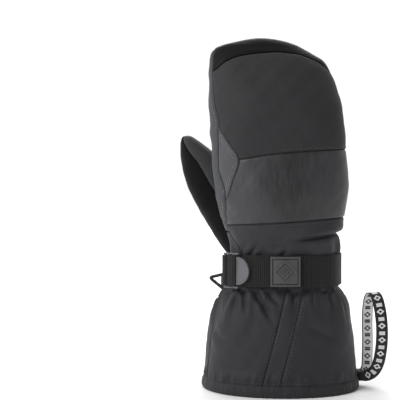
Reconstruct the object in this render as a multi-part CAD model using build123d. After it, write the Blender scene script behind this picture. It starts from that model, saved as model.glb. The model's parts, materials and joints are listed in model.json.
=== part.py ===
from build123d import *
import os
from math import copysign, cos, pi, radians, sin, tan

# Right-hand ski mitten, standing on its cuff. Millimetres.
# Origin: centre of the cuff opening, in the plane of the hem. +Z runs up to the fingertips,
# the back of the hand faces -Y, the palm faces +Y and the thumb is on the -X side.

# Layers of the wall, from the outside in
shell_thick = 1.2
padding_thick = 6.0
membrane_thick = 0.5
lining_thick = 1.5
layer_gap = 0.15
padding_at = shell_thick + layer_gap
membrane_at = padding_at + padding_thick + layer_gap
lining_at = membrane_at + membrane_thick + layer_gap
wall = lining_at + lining_thick
thumb_padding_thick = 4.5
thumb_lining_at = padding_at + thumb_padding_thick + layer_gap
thumb_wall = thumb_lining_at + lining_thick

# Heights of the seams round the hand and cuff
hem_height = 10.0
cuff_top = 100.0
elastic_low = 80.0
elastic_high = 118.0
heel_top = 139.0
knuckle_low = 146.0
knuckle_high = 206.0
grip_top = 200.0

# Gaps between bodies that move against each other
body_gap = 0.5

# Wrist strap: webbing on an arc across the back of the wrist
strap_width = 30.0
strap_mid = 106.0
webbing_thick = 1.4
webbing_gap = 0.35
arc_centre = (2.0, 54.5)
load_radius = 88.0
tail_radius = load_radius + webbing_thick + webbing_gap
load_span = (-17.0, 24.0)
load_end = (56.2, -1.0)
tail_span = (-20.0, 7.5)

# Badge on the strap's tail, at this angle on the arc
badge_size = (26.4, 26.2, 2.2)
badge_angle = -0.6
badge_border = 1.9
badge_recess = 0.7
recess_tool = 2.0

# Ladder buckle, yawed towards the thumb, hinged on its anchor bar
buckle_hinge = (-50.5, -20.5)
buckle_yaw = 32.0
buckle_thick = 2.6
buckle_height = 35.0
bar_radius = 1.5
rail_width = 2.3
middle_bar_at = 8.5
middle_bar_radius = 0.85 * bar_radius
frame_length = 13.5
tab_length = 24.0
tab_root = 0.5
turn_sink = 2.0
loop_thick = 1.1
loop_gap = 0.35
loop_margin = 1.0
stem_overlap = 0.3
stem_end = 16.0

# Ring that clips the pair together
ring_wire = 1.8
ring_bar_at = (-52.4, 0.0)
ring_low = 88.5
ring_high = 101.2
ring_reach = 11.3
ring_tip_lift = 1.5
ring_tab_margin = 3.0
ring_tab_half = 1.3
ring_tab_end = 12.0

# Leash loop at the hem: its tab stands out this far, and starts this far inside the wall
leash_diameter = 4.0
leash_tab_out = 3.0
leash_tab_sunk = 6.0
leash_tab_half = 6.5
leash_tab_heights = (3.0, 11.0)
leash_exit = 3.6
bend_share = 0.45

# Thumb joint: the thumb spreads about the crotch at its outer root
thumb_hinge = (-50.0, 0.0, 121.0)
thumb_travel = 25.0

# Each form is faceted, with this many sides, and above its crown it closes to a tip
ring_sides = 16
hand_crown = 254.0
thumb_crown = 200.0

# Ranges that reach past the mitten on every side
wide = (-200.0, 200.0)
back_half = (-200.0, 0.0)
palm_half = (0.0, 200.0)
above = 400.0
least_solid = 20.0

# Form of the hand and cuff: height, thumb-side edge, little-finger edge, half depth, fullness
hand_form = [
    (0.0, -71.0, 71.5, 47.0, 2.1),
    (24.0, -68.7, 69.0, 44.5, 2.1),
    (56.0, -65.5, 66.0, 40.5, 2.1),
    (84.0, -56.0, 59.5, 35.5, 2.2),
    (88.0, -50.0, 54.3, 31.3, 2.2),
    (104.0, -48.5, 53.0, 30.3, 2.2),
    (120.0, -46.0, 55.0, 31.0, 2.3),
    (149.0, -52.5, 59.5, 34.0, 2.4),
    (184.0, -59.5, 61.5, 33.5, 2.5),
    (217.0, -62.0, 59.5, 31.5, 2.5),
    (254.0, -64.0, 54.0, 27.0, 2.5),
    (280.0, -64.5, 45.0, 20.5, 2.5),
    (294.0, -63.0, 36.0, 15.5, 2.4),
    (303.0, -55.0, 22.5, 11.0, 2.3),
    (309.0, -42.0, 8.5, 7.0, 2.2),
    (312.5, -27.0, -8.0, 3.0, 2.1),
]
# Form of the thumb: height, outer edge, inner edge, mid depth, half depth, fullness
thumb_form = [
    (119.0, -48.5, -14.0, 12.0, 9.0, 2.2),
    (128.0, -54.5, -12.0, 16.0, 16.0, 2.3),
    (145.0, -65.5, -16.0, 20.0, 20.0, 2.4),
    (165.0, -77.0, -24.0, 23.0, 20.0, 2.4),
    (184.0, -86.0, -37.0, 24.0, 18.5, 2.4),
    (200.0, -89.5, -47.0, 24.0, 16.5, 2.4),
    (213.0, -90.5, -58.0, 23.0, 13.0, 2.3),
    (220.5, -89.5, -69.0, 22.0, 8.5, 2.2),
    (224.0, -86.0, -79.0, 21.5, 3.5, 2.1),
]

# Seams of the panels on the back, as x, z
gusset_seam = [(-48.5, 118.0), (-49.0, 142.0), (-51.0, 158.0), (-50.0, 173.0), (-56.5, 193.0),
               (-57.0, 217.0), (-56.5, 236.0), (-59.0, 250.0), (-61.5, 283.0), (-62.5, 296.0)]
diamond = [(-70.0, 230.0), (-56.0, 230.0), (-39.7, 202.0), (-49.6, 169.0), (-70.0, 169.0)]
cap_seam = [(-75.0, 282.0), (-57.5, 288.0), (-12.0, 300.5), (20.0, 297.0), (37.0, 291.0), (60.0, 280.0)]
strip_seam = [(-18.0, 0.0), (3.5, 82.0), (8.0, cuff_top)]
strip_width = 15.0
thumb_seam = [(-87.5, 226.0), (-61.0, 180.0), (-45.0, 152.0)]
thumb_seam_depth = 26.0


def ring_points(height, left, right, middle, depth, fullness):
    """Points of a superellipse across the form at one height."""
    points = []
    for step in range(ring_sides):
        angle = 2 * pi * (step + 0.5) / ring_sides
        across = copysign(abs(cos(angle)) ** (2 / fullness), cos(angle))
        along = copysign(abs(sin(angle)) ** (2 / fullness), sin(angle))
        points.append(((left + right) / 2 + (right - left) / 2 * across, middle + depth * along, height))
    return points


def closed_form(stations, inset, crown):
    """Closed faceted form through the stations. Above the crown the whole tip shrinks by the inset."""
    top = stations[-1][0]
    base, base_left, base_right, _, base_depth, _ = next(s for s in stations if s[0] >= crown)
    half = (base_right - base_left) / 2
    rings = []
    for height, left, right, middle, depth, fullness in stations:
        if height <= base:
            rings.append(ring_points(height, left + inset, right - inset, middle, depth - inset, fullness))
            continue
        centre = (left + right) / 2
        reach = (right - left) / 2 * (half - inset) / half
        thick = depth * (base_depth - inset) / base_depth
        level = base + (height - base) * (top - base - inset) / (top - base)
        rings.append(ring_points(level, centre - reach, centre + reach, middle, thick, fullness))
    faces = [make_face(Polyline(*ring, close=True)) for ring in (rings[0], rings[-1])]
    for low, high in zip(rings, rings[1:]):
        for side in range(ring_sides):
            after = (side + 1) % ring_sides
            faces.append(make_face(Polyline(low[side], low[after], high[after], close=True)))
            faces.append(make_face(Polyline(low[side], high[after], high[side], close=True)))
    return Solid(Shell(faces))


def hand(inset):
    stations = [(z, left, right, 0.0, depth, n) for z, left, right, depth, n in hand_form]
    return closed_form(stations, inset, hand_crown)


def thumb(inset):
    return closed_form(thumb_form, inset, thumb_crown)


def block(x_range, y_range, z_range):
    size = [high - low for low, high in (x_range, y_range, z_range)]
    middle = [(low + high) / 2 for low, high in (x_range, y_range, z_range)]
    return Pos(*middle) * Box(*size)


def prism(points, y_range=wide):
    """Outline in x, z carried through the depth."""
    low, high = y_range
    face = make_face(Polyline(*[(x, low, z) for x, z in points], close=True))
    return extrude(face, amount=high - low, dir=(0, 1, 0))


def write(name, shape):
    solids = shape.solids()
    shape = solids[0] if len(solids) == 1 else Compound(solids)
    shape.label = name
    export_step(shape, f"parts/{name}.step")
    print(f"{name}: {len(solids)} solid(s), {shape.volume / 1000:.2f} cm3")


def keep_large(shape):
    """Drop slivers that a cut leaves beside a seam."""
    solids = [s for s in shape.solids() if s.volume > least_solid]
    return solids[0] if len(solids) == 1 else Compound(solids)


def layer(form, start, thickness):
    """One layer of the wall, from its inset inwards."""
    return form(start) - form(start + thickness)


def hand_layers():
    """Shell, padding, membrane and lining of the hand and cuff, open where the thumb joins."""
    passage = thumb(thumb_wall)
    depths = [(0.0, shell_thick), (padding_at, padding_thick),
              (membrane_at, membrane_thick), (lining_at, lining_thick)]
    return [layer(hand, start, thickness) - passage for start, thickness in depths]


def hand_panels(shell):
    """Cap, gusset, patch, back and palm panels, cut from the shell at their seams."""
    gusset_zone = prism([(-100.0, 118.0)] + gusset_seam + [(-100.0, 296.0)])
    cap_zone = prism(cap_seam + [(60.0, above), (-75.0, above)])
    patch_zone = prism(diamond, back_half) - gusset_zone
    hand_shell = shell & block(wide, wide, (cuff_top, above))
    write("fingertip_cap", keep_large(hand_shell & cap_zone))
    body_shell = hand_shell - cap_zone
    write("side_gusset", keep_large(body_shell & gusset_zone))
    body_shell = body_shell - gusset_zone
    back = body_shell & block(wide, back_half, (cuff_top, above))
    palm = body_shell & block(wide, palm_half, (elastic_high, above))
    write("diamond_patch", keep_large(back & patch_zone))
    back = back - patch_zone
    write("back_fingers_panel", keep_large(back & block(wide, wide, (knuckle_high, above))))
    write("back_knuckle_panel", keep_large(back & block(wide, wide, (knuckle_low, knuckle_high))))
    write("back_wrist_panel", keep_large(back & block(wide, wide, (cuff_top, knuckle_low))))
    write("palm_fingers_panel", keep_large(palm & block(wide, wide, (grip_top, above))))
    write("palm_grip_patch", keep_large(palm & block(wide, wide, (heel_top, grip_top))))
    write("palm_heel_panel", keep_large(palm & block(wide, wide, (elastic_high, heel_top))))


def cuff_panels(shell):
    """Gauntlet and wrist panels: plain palm side, and a back in three with a slanting strip."""
    write("wrist_elastic", keep_large(shell & block(wide, palm_half, (elastic_low, elastic_high))))
    write("cuff_palm_panel", keep_large(shell & block(wide, palm_half, (hem_height, elastic_low))))
    right_seam = [(x + strip_width, z) for x, z in strip_seam]
    left_zone = prism([(-100.0, 0.0)] + strip_seam + [(-100.0, cuff_top)], back_half)
    strip_zone = prism(strip_seam + right_seam[::-1], back_half)
    right_zone = prism([(100.0, 0.0)] + right_seam + [(100.0, cuff_top)], back_half)
    cuff = shell & block(wide, back_half, (hem_height, cuff_top))
    write("cuff_back_left", keep_large(cuff & left_zone))
    write("cuff_back_strip", keep_large(cuff & strip_zone))
    write("cuff_back_right", keep_large(cuff & right_zone))


def inner_layers(padding, membrane, lining):
    """Padding in four, the membrane in one and the lining in two."""
    hand_zone = (cuff_top, above)
    cuff_zone = (hem_height, cuff_top)
    write("hand_padding_back", keep_large(padding & block(wide, back_half, hand_zone)))
    write("hand_padding_palm", keep_large(padding & block(wide, palm_half, hand_zone)))
    write("cuff_padding_back", keep_large(padding & block(wide, back_half, cuff_zone)))
    write("cuff_padding_palm", keep_large(padding & block(wide, palm_half, cuff_zone)))
    write("waterproof_membrane", keep_large(membrane & block(wide, wide, (hem_height, above))))
    write("hand_lining", keep_large(lining & block(wide, wide, hand_zone)))
    write("cuff_lining", keep_large(lining & block(wide, wide, cuff_zone)))


def hem_binding():
    write("hem_binding", layer(hand, 0.0, wall) & block(wide, wide, (0.0, hem_height)))


def thumb_pieces():
    """Shells, padding and lining of the thumb, trimmed clear of the hand over the thumb's travel."""
    hinge = Axis(thumb_hinge, (0, -1, 0))
    hand_clear = hand(-body_gap)
    shell = layer(thumb, 0.0, shell_thick)
    grey_zone = prism(thumb_seam + [(0.0, 152.0), (0.0, 226.0)], (back_half[0], thumb_seam_depth))
    pieces = {
        "thumb_grip_shell": shell - grey_zone,
        "thumb_back_shell": shell & grey_zone,
        "thumb_padding": layer(thumb, padding_at, thumb_padding_thick),
        "thumb_lining": layer(thumb, thumb_lining_at, lining_thick),
    }
    clearances = [hand_clear.rotate(hinge, -angle) for angle in (0.0, thumb_travel / 2, thumb_travel)]
    for name, piece in pieces.items():
        for clearance in clearances:
            piece = piece - clearance
        largest = sorted(piece.solids(), key=lambda s: s.volume)[-1]
        write(name, largest)


def on_arc(radius, degrees):
    """Point on a circle about the strap's centre; 0 degrees is the middle of the back."""
    return (arc_centre[0] + radius * sin(radians(degrees)), arc_centre[1] - radius * cos(radians(degrees)))


def webbing_path(radius, start, end):
    return ThreePointArc(on_arc(radius, start), on_arc(radius, (start + end) / 2), on_arc(radius, end))


def webbing(path, thickness=webbing_thick, height=strap_width):
    """Flat webbing with its inner face on the path, standing on edge."""
    side = (path % 0).cross(Vector(0, 0, 1))
    profile = Plane(origin=path @ 0 + side * (thickness / 2) + Vector(0, 0, strap_mid),
                    x_dir=side, z_dir=path % 0) * Rectangle(thickness, height)
    return sweep(profile, path=Pos(0, 0, strap_mid) * Wire(path.edges()), transition=Transition.ROUND)


def strap():
    """Load webbing across the wrist, its tail over it, and the badge on the tail."""
    across = webbing_path(load_radius, *load_span)
    corner = TangentArc(on_arc(load_radius, load_span[1]), load_end, tangent=across % 1)
    write("wrist_strap", webbing(Wire([*across.edges(), *corner.edges()])))
    write("strap_tail", webbing(webbing_path(tail_radius, *tail_span)))
    badge_radius = tail_radius + webbing_thick
    wide_badge, high_badge, thick_badge = badge_size
    half_angle = wide_badge / 2 / badge_radius * 180 / pi
    badge = webbing(webbing_path(badge_radius, badge_angle - half_angle, badge_angle + half_angle),
                    thick_badge, high_badge)
    inner_half = half_angle * (1 - 2 * badge_border / wide_badge)
    recess = webbing(webbing_path(badge_radius + thick_badge - badge_recess, badge_angle - inner_half,
                                  badge_angle + inner_half), recess_tool, high_badge - 2 * badge_border)
    write("badge", badge - recess)


def buckle_frame():
    """Ladder buckle in its own plane: x along its length from the anchor bar, z up, y its thickness."""
    half = buckle_height / 2
    rails = []
    for side in (-1, 1):
        rails.append(block((-bar_radius, frame_length), (-buckle_thick / 2, buckle_thick / 2),
                           sorted((side * half, side * (half - rail_width)))))
    bars = [Pos(at, 0, 0) * Cylinder(radius, buckle_height - 1)
            for at, radius in ((0.0, bar_radius), (middle_bar_at, middle_bar_radius))]
    front = block((frame_length - rail_width, frame_length), (-buckle_thick / 2, buckle_thick / 2),
                  (-half, half))
    low_corner = (frame_length - tab_root, 0, -half + rail_width)
    high_corner = (frame_length - tab_root, 0, half - rail_width)
    curve = ThreePointArc(high_corner, (tab_length, 0, 0), low_corner)
    chord = Line(low_corner, high_corner)
    tab_face = make_face([*curve.edges(), *chord.edges()])
    tab = extrude(tab_face, amount=buckle_thick / 2, dir=(0, 1, 0), both=True)
    frame = front + tab
    for piece in rails + bars:
        frame = frame + piece
    return frame


def place_on_wrist(shape):
    x, y = buckle_hinge
    return Pos(x, y, strap_mid) * Rot(0, 0, -buckle_yaw) * shape


def arc_cylinder(radius):
    """Cylinder about the strap's centre, taller than the strap and its buckle."""
    return Pos(arc_centre[0], arc_centre[1], strap_mid) * Cylinder(radius, 3 * buckle_height)


def sleeve_round(radius, gap, thickness, height):
    return Cylinder(radius + gap + thickness, height) - Cylinder(radius + gap, height + 2)


def buckle():
    """The buckle, the strap turned over its middle bar, and the loop that anchors it to the wrist."""
    tail_clear = tail_radius + webbing_thick + webbing_gap
    turn_clear = tail_clear - turn_sink
    write("buckle", keep_large(place_on_wrist(buckle_frame()) - arc_cylinder(tail_clear)))
    turn_height = strap_width - loop_margin
    turn = Pos(middle_bar_at, 0, 0) * sleeve_round(middle_bar_radius, 0.0, webbing_thick, turn_height)
    write("strap_turn", place_on_wrist(turn) - arc_cylinder(turn_clear))
    loop = sleeve_round(bar_radius, loop_gap, loop_thick, turn_height)
    outer = bar_radius + loop_gap + loop_thick
    stem = block((-loop_thick, loop_thick), (outer - stem_overlap, stem_end),
                 (-turn_height / 2, turn_height / 2))
    x, y = buckle_hinge
    anchor = Pos(x, y, strap_mid) * (loop + stem)
    write("strap_anchor_loop", keep_large(anchor - hand(0.0)))


def pairing_ring():
    """Triangular wire ring, and the tab that holds its upright side."""
    x, y = ring_bar_at
    mid = (ring_low + ring_high) / 2
    corners = [(x, ring_low), (x, ring_high), (x - ring_reach, mid + ring_tip_lift)]
    radius = ring_wire / 2
    ring = None
    for first, second in zip(corners, corners[1:] + corners[:1]):
        start = Vector(first[0], y, first[1])
        run = Vector(second[0], y, second[1]) - start
        rod = Plane(origin=start + run * 0.5, z_dir=run.normalized()) * Cylinder(radius, run.length)
        knuckle = Pos(*start) * Sphere(radius)
        ring = rod + knuckle if ring is None else ring + rod + knuckle
    write("pairing_ring", ring)
    height = ring_high - ring_low - 2 * ring_tab_margin
    wrap = sleeve_round(radius, loop_gap, loop_thick, height)
    stem = block((radius + loop_gap + stem_overlap, ring_tab_end), (-ring_tab_half, ring_tab_half),
                 (-height / 2, height / 2))
    tab = Pos(x, y, mid) * (wrap + stem)
    write("ring_tab", keep_large(tab - hand(0.0)))


def leash():
    """Ribbon loop: out of its tab at the hem, up, over and back down to the tab."""
    face = hand_form[0][2] + leash_tab_out
    route = [(face, -leash_exit, 7.0), (80.5, -3.6, 7.0), (87.5, -8.5, 15.0), (91.5, -12.0, 32.0),
             (92.5, -12.5, 51.0), (90.5, -10.0, 68.0), (87.5, -3.5, 78.5), (84.0, 4.5, 78.0),
             (81.5, 9.5, 66.0), (81.0, 10.0, 49.0), (82.0, 9.0, 33.0), (83.0, 6.5, 19.0),
             (83.0, 3.6, 7.4), (face, leash_exit, 7.0)]
    points = [Vector(*p) for p in route]
    radii = []
    for before, here, after in zip(points, points[1:], points[2:]):
        turn = (here - before).get_angle(after - here)
        shorter = min((here - before).length, (after - here).length)
        radii.append(bend_share * shorter / tan(radians(turn / 2)))
    path = FilletPolyline(*route, radius=radii)
    profile = Plane(origin=path @ 0, z_dir=path % 0) * Circle(leash_diameter / 2)
    write("leash_ribbon", sweep(profile, path=path))
    tab = block((face - leash_tab_out - leash_tab_sunk, face), (-leash_tab_half, leash_tab_half),
                leash_tab_heights)
    write("leash_end_tab", keep_large(tab - hand(0.0)))


os.makedirs("parts", exist_ok=True)
shell, padding, membrane, lining = hand_layers()
hand_panels(shell)
cuff_panels(shell)
inner_layers(padding, membrane, lining)
hem_binding()
thumb_pieces()
strap()
buckle()
pairing_ring()
leash()
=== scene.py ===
import bpy
import json
import math
import numpy as np
from mathutils import Vector, Matrix
from mathutils.bvhtree import BVHTree

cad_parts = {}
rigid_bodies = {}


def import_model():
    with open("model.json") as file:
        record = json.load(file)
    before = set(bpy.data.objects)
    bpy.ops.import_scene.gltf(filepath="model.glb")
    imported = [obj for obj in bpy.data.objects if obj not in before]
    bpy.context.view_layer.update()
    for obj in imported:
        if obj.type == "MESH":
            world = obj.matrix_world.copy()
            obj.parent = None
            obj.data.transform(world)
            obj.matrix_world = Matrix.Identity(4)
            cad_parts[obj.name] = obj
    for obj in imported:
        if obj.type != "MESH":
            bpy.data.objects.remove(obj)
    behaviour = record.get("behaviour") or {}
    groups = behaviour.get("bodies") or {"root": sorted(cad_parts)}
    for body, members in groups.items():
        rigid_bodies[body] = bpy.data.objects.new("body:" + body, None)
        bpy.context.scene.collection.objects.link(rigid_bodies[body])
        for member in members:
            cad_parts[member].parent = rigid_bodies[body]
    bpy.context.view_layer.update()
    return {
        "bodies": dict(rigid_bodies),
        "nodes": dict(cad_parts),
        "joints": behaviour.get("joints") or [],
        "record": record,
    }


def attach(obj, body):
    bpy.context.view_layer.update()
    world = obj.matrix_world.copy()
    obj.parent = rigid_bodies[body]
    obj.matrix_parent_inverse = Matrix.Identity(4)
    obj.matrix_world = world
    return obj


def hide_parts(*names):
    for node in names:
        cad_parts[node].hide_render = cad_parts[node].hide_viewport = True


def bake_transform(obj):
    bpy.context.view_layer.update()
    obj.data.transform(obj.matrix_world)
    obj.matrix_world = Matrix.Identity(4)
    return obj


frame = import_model()
bpy.ops.object.select_all(action="DESELECT")
scene = bpy.context.scene
mm = 0.001
finishes = {}
print("frame loaded")

view = {"place": (-0.0728, -0.72, 0.178), "aim": (-0.0728, 0.0, 0.1675), "lens": 72.0, "sensor": 36.0}


def facing(place, aim):
    return (Vector(aim) - Vector(place)).to_track_quat("-Z", "Y").to_euler()


def makeCamera():
    bpy.ops.object.camera_add(location=view["place"], rotation=facing(view["place"], view["aim"]))
    camera = bpy.context.object
    camera.data.lens = view["lens"]
    camera.data.sensor_width = view["sensor"]
    scene.camera = camera


makeCamera()
print("camera placed")


# a node socket that takes part in arithmetic
class Sock:
    def __init__(self, tree, socket):
        self.tree = tree
        self.socket = socket

    def mathNode(self, operation, first, second=None):
        node = self.tree.nodes.new("ShaderNodeMath")
        node.operation = operation
        for slot, value in enumerate((first, second)):
            if isinstance(value, Sock):
                self.tree.links.new(value.socket, node.inputs[slot])
            elif value is not None:
                node.inputs[slot].default_value = value
        return Sock(self.tree, node.outputs[0])

    def call(self, operation, other=None):
        return self.mathNode(operation, self, other)

    def __add__(self, other):
        return self.call("ADD", other)

    def __radd__(self, other):
        return self.mathNode("ADD", other, self)

    def __sub__(self, other):
        return self.call("SUBTRACT", other)

    def __rsub__(self, other):
        return self.mathNode("SUBTRACT", other, self)

    def __mul__(self, other):
        return self.call("MULTIPLY", other)

    def __rmul__(self, other):
        return self.mathNode("MULTIPLY", other, self)

    def __truediv__(self, other):
        return self.call("DIVIDE", other)

    def __pow__(self, other):
        return self.call("POWER", other)

    def __gt__(self, other):
        return self.call("GREATER_THAN", other)

    def __lt__(self, other):
        return self.call("LESS_THAN", other)

    def wave(self, length):
        return (self * (2 * math.pi / length)).call("SINE")

    def axis(self, index):
        parts = self.tree.nodes.new("ShaderNodeSeparateXYZ")
        self.tree.links.new(self.socket, parts.inputs[0])
        return Sock(self.tree, parts.outputs[index])


# a material being built node by node
class Finish:
    def __init__(self, name):
        self.material = bpy.data.materials.new(name)
        self.material.use_nodes = True
        self.tree = self.material.node_tree
        self.shader = self.tree.nodes["Principled BSDF"]
        finishes[name] = self.material

    def put(self, socket, value):
        if isinstance(value, Sock):
            self.tree.links.new(value.socket, socket)
        elif isinstance(value, tuple) and len(value) == 3 and socket.type == "RGBA":
            socket.default_value = (*value, 1.0)
        else:
            socket.default_value = value

    def set(self, **values):
        for key, value in values.items():
            self.put(self.shader.inputs[key.replace("_", " ")], value)

    def node(self, kind, **values):
        made = self.tree.nodes.new("ShaderNode" + kind)
        for key, value in values.items():
            self.put(made.inputs[key], value)
        return Sock(self.tree, made.outputs[0])

    # coordinates in metres, scaled and turned
    def place(self, source="Object", scale=(1, 1, 1), turn=0.0):
        coordinates = self.tree.nodes.new("ShaderNodeTexCoord")
        return self.node("Mapping", Vector=Sock(self.tree, coordinates.outputs[source]), Scale=scale,
                         Rotation=(0, 0, turn))

    def cloth(self, turn=0.0):
        flat = self.place("UV", turn=turn)
        return flat.axis(0), flat.axis(1)

    def noise(self, place, scale, detail=3.0, rough=0.55):
        return self.node("TexNoise", Vector=place, Scale=scale, Detail=detail, Roughness=rough)

    def mix(self, factor, first, second):
        made = self.tree.nodes.new("ShaderNodeMix")
        made.data_type = "RGBA"
        made.clamp_factor = True
        for slot, value in ((0, factor), (6, first), (7, second)):
            self.put(made.inputs[slot], value)
        return Sock(self.tree, made.outputs[2])

    # the colour, darkened where the tone is 0 and brightened where it is 1
    def tint(self, tone, colour, dark, bright):
        ends = [tuple(min(1.0, c * factor) for c in colour) for factor in (dark, bright)]
        self.set(Base_Color=self.mix(tone, *ends))

    def bump(self, height, distance, strength=1.0, under=None):
        values = {"Height": height, "Distance": distance, "Strength": strength}
        if under is not None:
            values["Normal"] = under
        return self.node("Bump", **values)


# weave on the piece's own cloth coordinates; pitch and depth of the weave in metres
def wovenFabric(name, colour, rough, pitch=0.0009, sheen=0.12, contrast=0.22, mottle=0.18, weave=0.00009,
                turn=0.0, heather=0.0, shine=0.28):
    made = Finish(name)
    along, across = made.cloth(turn)
    threads = along.wave(pitch) * across.wave(pitch) * 0.5 + 0.5
    body = made.place()
    cloudy = made.noise(body, 38.0, 4.0)
    fine = made.noise(body, 900.0, 2.0)
    tone = (cloudy - 0.5) * mottle * 2 + (threads - 0.5) * contrast + 0.5
    if heather:
        flecks = made.noise(made.place("UV", (900.0, 2600.0, 1.0), turn), 1.0, 2.0)
        tone = tone + (flecks - 0.5) * heather * 2
    made.tint(tone, colour, 0.55, 1.45)
    made.set(Roughness=(fine - 0.5) * 0.16 + rough, Sheen_Weight=sheen * 0.4, Sheen_Roughness=0.5)
    puckers = made.bump(cloudy, 0.0011, 0.45)
    made.set(Specular_IOR_Level=shine, Normal=made.bump(threads + fine * 0.5, weave, 0.9, puckers))


# coated synthetic leather: fine pebble grain with a mottled, brushed sheen; the last argument paints sheen into
# the colour, paler to the sides and darker in the middle
def coatedFabric(name, colour, rough, paintedSheen=0.0):
    made = Finish(name)
    body = made.place()
    grain = made.node("TexVoronoi", Vector=body, Scale=1150.0, Randomness=1.0)
    streaks = made.noise(made.place(scale=(520.0, 300.0, 70.0)), 1.0)
    cloudy = made.noise(body, 30.0)
    # painted sheen: the colour is darkest at x = 7 mm and paler towards the sides
    sides = ((body.axis(0) - 0.007) * 25.0).call("ABSOLUTE").call("MINIMUM", 1.0)
    tone = (streaks - 0.5) * 1.1 + (cloudy - 0.5) * 0.4 + sides * paintedSheen + 0.5 - 0.5 * paintedSheen
    made.tint(tone, colour, 0.6, 1.4)
    made.set(Roughness=(streaks - 0.5) * 0.3 + rough, Specular_IOR_Level=0.4)
    made.set(Normal=made.bump(grain, 0.00012, 0.7, made.bump(cloudy, 0.0008, 0.3)))


def suede(name, colour):
    made = Finish(name)
    nap = made.noise(made.place(), 1600.0, 3.0, 0.7)
    brushed = made.noise(made.place(scale=(60.0, 60.0, 22.0)), 1.0, 4.0)
    made.tint((brushed - 0.5) * 0.9 + (nap - 0.5) * 0.5 + 0.5, colour, 0.5, 1.6)
    made.set(Roughness=(nap - 0.5) * 0.1 + 0.92, Sheen_Weight=0.06, Sheen_Roughness=0.6, Specular_IOR_Level=0.08)
    made.set(Normal=made.bump(nap, 0.00022, 0.8))


# ribs across the webbing, with faint lengthways lines
def webbingFinish(name, colour, pitch):
    made = Finish(name)
    along, across = made.cloth()
    ribs = (along.wave(pitch) * 0.5 + 0.5) ** 0.6
    broad = along.wave(pitch * 2) * 0.5 + 0.5
    lines = across.wave(0.0021) * 0.5 + 0.5
    fuzz = made.noise(made.place(), 1400.0, 2.0)
    made.tint(ribs * 0.55 + broad * 0.18 + lines * 0.12 + (fuzz - 0.5) * 0.3, colour, 0.2, 2.3)
    made.set(Roughness=fuzz * 0.2 + 0.55, Sheen_Weight=0.03, Specular_IOR_Level=0.25)
    made.set(Normal=made.bump(ribs + lines * 0.3 + fuzz * 0.15, 0.00028))


def mouldedFinish(name, colour, rough, grainSize=700.0, coat=0.0):
    made = Finish(name)
    body = made.place()
    worn = made.noise(body, 55.0)
    made.tint(worn, colour, 0.8, 1.2)
    made.set(Roughness=(worn - 0.5) * 0.25 + rough, Coat_Weight=coat, Specular_IOR_Level=0.5)
    made.set(Normal=made.bump(made.noise(body, grainSize), 0.00004, 0.6))


# woven ribbon with a plain repeat of lozenges and bars, and a border line at each edge
def ribbonFinish(name, ground, figure, phase=0.0, border=2.0):
    made = Finish(name)
    along, across = made.cloth()
    step = ((along + phase) / 0.0125).call("FRACT")
    half = (across / 0.0052).call("ABSOLUTE")
    reach = (step - 0.28).call("ABSOLUTE") * 3.0 + half
    beside = (step - 0.76).call("ABSOLUTE")
    bars = ((beside * 24.0).call("SINE") > 0.15) * (beside < 0.17) * (half < 0.5)
    marks = ((reach < 0.66) - (reach < 0.3) + bars + (half > border)).call("MINIMUM", 1.0)
    threads = along.wave(0.0006) * across.wave(0.0006)
    made.set(Base_Color=made.mix(marks, ground, figure))
    made.set(Roughness=threads * 0.08 + 0.6, Specular_IOR_Level=0.35)
    made.set(Normal=made.bump(threads + marks * 0.6, 0.00006, 0.8))


wovenFabric("backNylon", (0.0235, 0.0235, 0.0254), 0.66)
wovenFabric("wristNylon", (0.028, 0.0274, 0.0316), 0.6)
wovenFabric("cuffNylon", (0.0235, 0.0228, 0.0263), 0.58)
wovenFabric("stripNylon", (0.0255, 0.0248, 0.0283), 0.6, turn=0.25)
# the fingertip cap's nylon is the shell nylon coloured about five times darker: painted shade where the cap curves
# away from the light
wovenFabric("capNylon", (0.0045, 0.0045, 0.0048), 0.5, pitch=0.0008, sheen=0.02, shine=0.12)
wovenFabric("capPalmNylon", (0.028, 0.028, 0.031), 0.6, sheen=0.1)
for name, colour in (("gussetTwill", (0.056, 0.0572, 0.062)), ("diamondTwill", (0.076, 0.077, 0.083))):
    wovenFabric(name, colour, 0.8, pitch=0.0011, sheen=0.2, contrast=0.25, mottle=0.12, turn=0.6, heather=0.35)
wovenFabric("thumbNylon", (0.035, 0.035, 0.037), 0.7, sheen=0.15)
wovenFabric("hemTape", (0.0255, 0.0255, 0.0282), 0.7, pitch=0.0007, sheen=0.2, contrast=0.3, turn=0.7)
wovenFabric("fleece", (0.02, 0.02, 0.022), 0.95, pitch=0.0016, sheen=0.5, contrast=0.5, mottle=0.4, weave=0.0003)
wovenFabric("liningNylon", (0.03, 0.03, 0.033), 0.5, pitch=0.0008, sheen=0.1)
wovenFabric("padding", (0.75, 0.75, 0.74), 0.95, pitch=0.002, sheen=0.3, contrast=0.3, mottle=0.3, weave=0.0004)
# the knuckle panel's colour carries painted sheen, paler to its sides
coatedFabric("knuckleCoated", (0.034, 0.034, 0.0364), 0.46, paintedSheen=0.8)
coatedFabric("palmCoated", (0.022, 0.022, 0.023), 0.36)
suede("gripSuede", (0.0045, 0.0045, 0.0047))
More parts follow.
